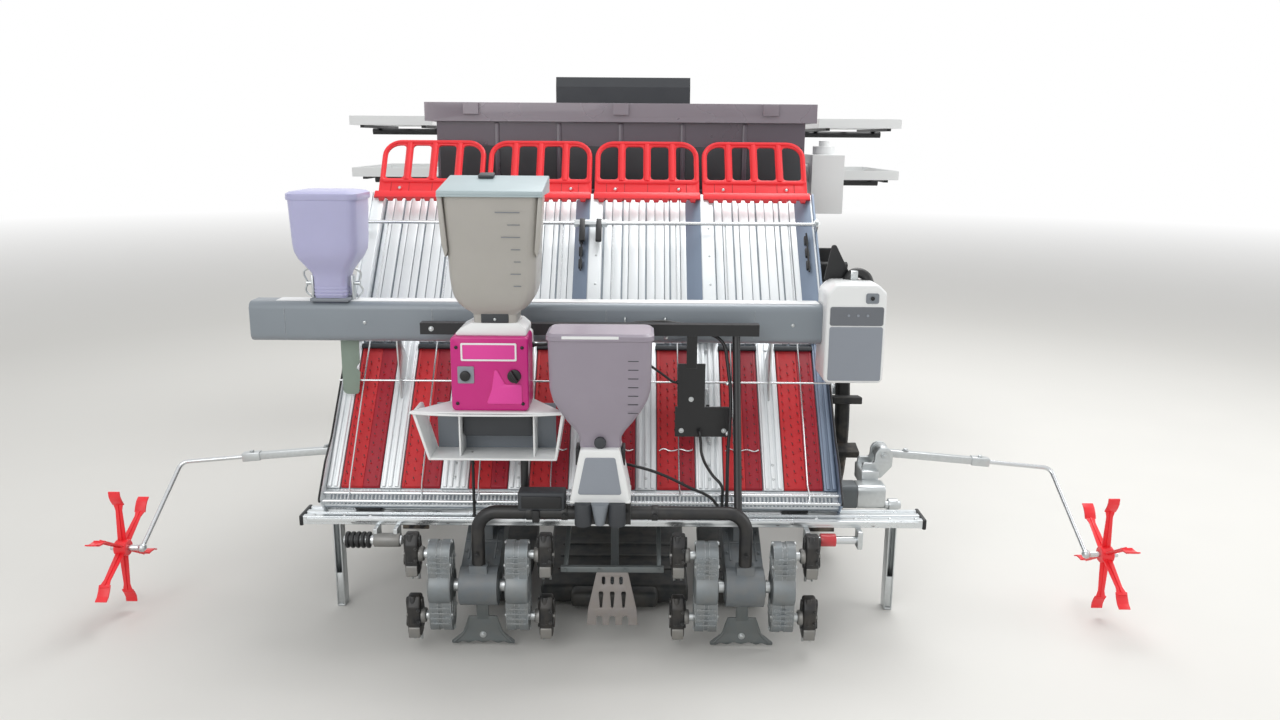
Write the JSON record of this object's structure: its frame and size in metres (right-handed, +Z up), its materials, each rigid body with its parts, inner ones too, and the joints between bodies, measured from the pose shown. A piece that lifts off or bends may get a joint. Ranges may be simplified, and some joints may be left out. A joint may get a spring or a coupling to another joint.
{
  "type": "rice transplanter",
  "caption": "Riding rice transplanter with a sliding seedling table, rotary planting arms, lift linkage, folding markers, seedling racks and granule hoppers.",
  "frame": {"origin": "floor level at the middle of the machine's bounding box", "axes": "+Z up, +Y the way the machine drives, +X its right side; the seedling table and planting arms are towards -Y"},
  "size_m": [2.464, 2.392, 1.35],
  "materials": {
    "frame_black": "satin",
    "case_silver": "matt",
    "engine_grey": "matt",
    "body_red": "gloss",
    "mask_dark": "matt",
    "deck_grey": "satin",
    "console_dark": "matt",
    "bin_smoke": "translucent",
    "lid_grey": "satin",
    "meter_black": "matt",
    "blower_grey": "matt",
    "rack_white": "satin",
    "rod_chrome": "polished",
    "vinyl_black": "satin",
    "wheel_black": "matt",
    "tyre_black": "matt",
    "rim_silver": "satin",
    "planter_grey": "satin",
    "rail_bright": "satin",
    "float_grey": "matt",
    "plate_grey": "matt",
    "spreader_magenta": "gloss",
    "hopper_beige": "translucent",
    "cover_white": "gloss",
    "hopper_plum": "translucent",
    "table_silver": "satin",
    "belt_red": "matt",
    "grid_red": "gloss",
    "wire_steel": "satin",
    "beam_grey": "satin",
    "hopper_violet": "translucent",
    "arm_black": "satin",
    "cable_black": "matt"
  },
  "bodies": {
    "chassis": {"main_frame": "frame_black", "drive_case": "case_silver", "front_axle_case": "case_silver", "engine_block": "engine_grey", "bonnet": "body_red", "front_mask": "mask_dark", "deck": "deck_grey", "seat_pedestal": "console_dark", "dash_console": "console_dark", "fertiliser_hopper": "bin_smoke", "metering_units": "meter_black", "blower_housing": "blower_grey", "rack_frames": "frame_black", "rack_trays": "rack_white", "lift_cylinder": "engine_grey"},
    "lift_rod": {"lift_rod": "rod_chrome"},
    "seat": {"seat_frame": "vinyl_black", "seat_cushion": "vinyl_black"},
    "steering_wheel": {"steering_wheel": "wheel_black"},
    "knuckle_left": {"knuckle_left": "case_silver"},
    "knuckle_right": {"knuckle_right": "case_silver"},
    "front_wheel_left": {"front_tyre_left": "tyre_black", "front_rim_left": "rim_silver"},
    "front_wheel_right": {"front_tyre_right": "tyre_black", "front_rim_right": "rim_silver"},
    "rear_wheel_left": {"rear_tyre_left": "tyre_black", "rear_rim_left": "rim_silver"},
    "rear_wheel_right": {"rear_tyre_right": "tyre_black", "rear_rim_right": "rim_silver"},
    "hopper_lid": {"hopper_lid": "lid_grey"},
    "lower_links": {"lower_links": "frame_black"},
    "upper_link": {"upper_link": "frame_black"},
    "planter": {"planter_frame": "planter_grey", "planting_cases": "case_silver", "table_rail": "rail_bright", "floats": "float_grey", "soil_plates": "plate_grey", "tool_frame": "frame_black", "harness": "cable_black", "spreader_body": "spreader_magenta", "spreader_hopper": "hopper_beige", "spreader_horn": "cover_white", "applicator_hopper": "hopper_plum", "applicator_body": "cover_white"},
    "seedling_table": {"table_panels": "table_silver", "feed_belts": "belt_red", "extension_grids": "grid_red", "press_rods": "wire_steel", "granule_beam": "beam_grey", "granule_hopper": "hopper_violet", "motor_box": "cover_white"},
    "rotors": {"rotor_cases": "case_silver"},
    "arms_a": {"planting_arms_a": "arm_black"},
    "arms_b": {"planting_arms_b": "arm_black"},
    "stand_left": {"stand_left": "planter_grey"},
    "stand_right": {"stand_right": "planter_grey"},
    "marker_left": {"marker_arm_left": "wire_steel"},
    "marker_right": {"marker_arm_right": "wire_steel"},
    "marker_wheel_left": {"marker_wheel_left": "grid_red"},
    "marker_wheel_right": {"marker_wheel_right": "grid_red"}
  },
  "joints": [
    {"name": "steer_left", "type": "hinge", "parent": "chassis", "child": "knuckle_left", "pos_m": [-0.51, 0.746, 0.29], "axis": [0, 0, 1], "range_deg": [-40, 40]},
    {"name": "steer_right", "type": "hinge", "parent": "chassis", "child": "knuckle_right", "pos_m": [0.51, 0.746, 0.29], "axis": [0, 0, 1], "range_deg": [-40, 40]},
    {"name": "steering_wheel_turn", "type": "hinge", "parent": "chassis", "child": "steering_wheel", "pos_m": [0, 0.641, 1.15], "axis": [0, -0.5, 0.866], "range_deg": [-400, 400]},
    {"name": "front_wheel_left_spin", "type": "hinge", "parent": "knuckle_left", "child": "front_wheel_left", "pos_m": [-0.6, 0.746, 0.29], "axis": [1, 0, 0], "continuous": true},
    {"name": "front_wheel_right_spin", "type": "hinge", "parent": "knuckle_right", "child": "front_wheel_right", "pos_m": [0.6, 0.746, 0.29], "axis": [1, 0, 0], "continuous": true},
    {"name": "rear_wheel_left_spin", "type": "hinge", "parent": "chassis", "child": "rear_wheel_left", "pos_m": [-0.6, -0.304, 0.425], "axis": [1, 0, 0], "continuous": true},
    {"name": "rear_wheel_right_spin", "type": "hinge", "parent": "chassis", "child": "rear_wheel_right", "pos_m": [0.6, -0.304, 0.425], "axis": [1, 0, 0], "continuous": true},
    {"name": "seat_tilt", "type": "hinge", "parent": "chassis", "child": "seat", "pos_m": [0, 0.441, 0.912], "axis": [-1, 0, 0], "range_deg": [0, 45]},
    {"name": "lid_open", "type": "hinge", "parent": "chassis", "child": "hopper_lid", "pos_m": [0, 0.062, 1.24], "axis": [-1, 0, 0], "range_deg": [0, 80]},
    {"name": "lift", "type": "hinge", "parent": "chassis", "child": "lower_links", "pos_m": [0, -0.314, 0.52], "axis": [-1, 0, 0], "range_deg": [0, 50]},
    {"name": "planter_pitch", "type": "hinge", "parent": "lower_links", "child": "planter", "pos_m": [0, -0.78528, 0.30024], "axis": [-1, 0, 0], "range_deg": [-50, 0]},
    {"name": "upper_link_swing", "type": "hinge", "parent": "chassis", "child": "upper_link", "pos_m": [0, -0.314, 0.72], "axis": [-1, 0, 0], "range_deg": [0, 50]},
    {"name": "lift_rod_slide", "type": "slide", "parent": "chassis", "child": "lift_rod", "axis": [0, -1, 0], "range_m": [0, 0.102]},
    {"name": "table_slide", "type": "slide", "parent": "planter", "child": "seedling_table", "axis": [1, 0, 0], "range_m": [-0.066, 0.214]},
    {"name": "rotor_spin", "type": "hinge", "parent": "planter", "child": "rotors", "pos_m": [0, -1.124, 0.166], "axis": [1, 0, 0], "continuous": true},
    {"name": "arms_a_spin", "type": "hinge", "parent": "rotors", "child": "arms_a", "pos_m": [0, -1.124, 0.241], "axis": [1, 0, 0], "continuous": true},
    {"name": "arms_b_spin", "type": "hinge", "parent": "rotors", "child": "arms_b", "pos_m": [0, -1.124, 0.091], "axis": [1, 0, 0], "continuous": true},
    {"name": "stand_left_fold", "type": "hinge", "parent": "planter", "child": "stand_left", "pos_m": [-0.69, -0.884, 0.275], "axis": [1, 0, 0], "range_deg": [0, 90]},
    {"name": "stand_right_fold", "type": "hinge", "parent": "planter", "child": "stand_right", "pos_m": [0.69, -0.884, 0.275], "axis": [1, 0, 0], "range_deg": [0, 90]},
    {"name": "marker_left_fold", "type": "hinge", "parent": "planter", "child": "marker_left", "pos_m": [-0.68, -0.784, 0.38], "axis": [0, 1, 0], "range_deg": [0, 70]},
    {"name": "marker_right_fold", "type": "hinge", "parent": "planter", "child": "marker_right", "pos_m": [0.68, -0.784, 0.38], "axis": [0, -1, 0], "range_deg": [0, 70]},
    {"name": "marker_wheel_left_spin", "type": "hinge", "parent": "marker_left", "child": "marker_wheel_left", "pos_m": [-1.203, -0.944, 0.173], "axis": [1, 0, 0], "continuous": true},
    {"name": "marker_wheel_right_spin", "type": "hinge", "parent": "marker_right", "child": "marker_wheel_right", "pos_m": [1.203, -0.944, 0.173], "axis": [1, 0, 0], "continuous": true}
  ],
  "couplings": [
    {"joint": "steer_right", "follows": "steer_left", "ratio": 1},
    {"joint": "steering_wheel_turn", "follows": "steer_left", "ratio": 10},
    {"joint": "planter_pitch", "follows": "lift", "ratio": -1},
    {"joint": "upper_link_swing", "follows": "lift", "ratio": 1},
    {"joint": "lift_rod_slide", "follows": "lift", "m_per_rad": 0.1162},
    {"joint": "arms_a_spin", "follows": "rotor_spin", "ratio": -1},
    {"joint": "arms_b_spin", "follows": "rotor_spin", "ratio": -1}
  ]
}
